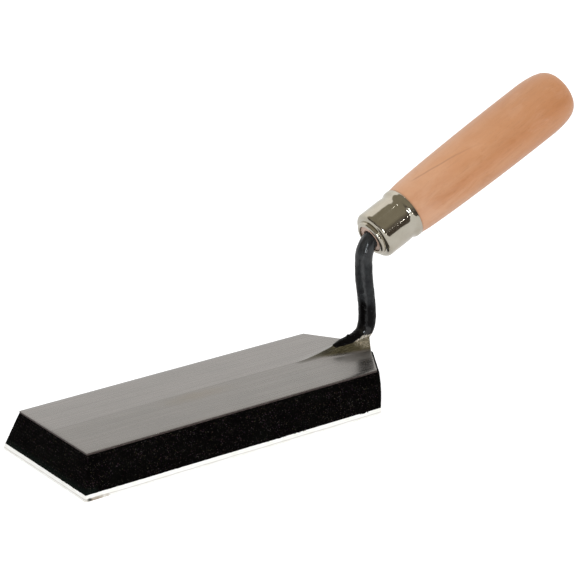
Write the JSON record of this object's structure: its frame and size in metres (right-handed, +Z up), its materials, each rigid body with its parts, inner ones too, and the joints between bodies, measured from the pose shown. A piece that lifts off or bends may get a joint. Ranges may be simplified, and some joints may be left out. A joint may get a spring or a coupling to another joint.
{
  "type": "margin float",
  "caption": "Small rubber pointing float: a pointed steel plate over a sponge pad and a pale rubber working face, with a cranked painted shank, a plated ferrule and a turned wooden handle.",
  "frame": {"origin": "centre of the rubber working face, which rests on the work", "axes": "+X from the front edge towards the handle, +Y across the plate, +Z up from the working face"},
  "size_m": [0.2585, 0.063, 0.1148],
  "materials": {
    "ground_steel": "ground lengthwise, satin",
    "black_paint": "gloss, dipped",
    "braze_metal": "as brazed, heat tinted",
    "contact_cement": "dull film",
    "sponge_rubber": "matte, cut open cells",
    "gum_rubber": "smooth, matte",
    "nickel_plate": "bright, slightly warm",
    "varnished_beech": "clear satin varnish"
  },
  "bodies": {
    "root": {"backing_plate": "ground_steel", "shank": "black_paint", "braze_fillet_near": "braze_metal", "braze_fillet_far": "braze_metal", "plate_cement": "contact_cement", "foam_pad": "sponge_rubber", "facing_cement": "contact_cement", "rubber_facing": "gum_rubber", "ferrule": "nickel_plate", "handle": "varnished_beech"}
  },
  "joints": []
}
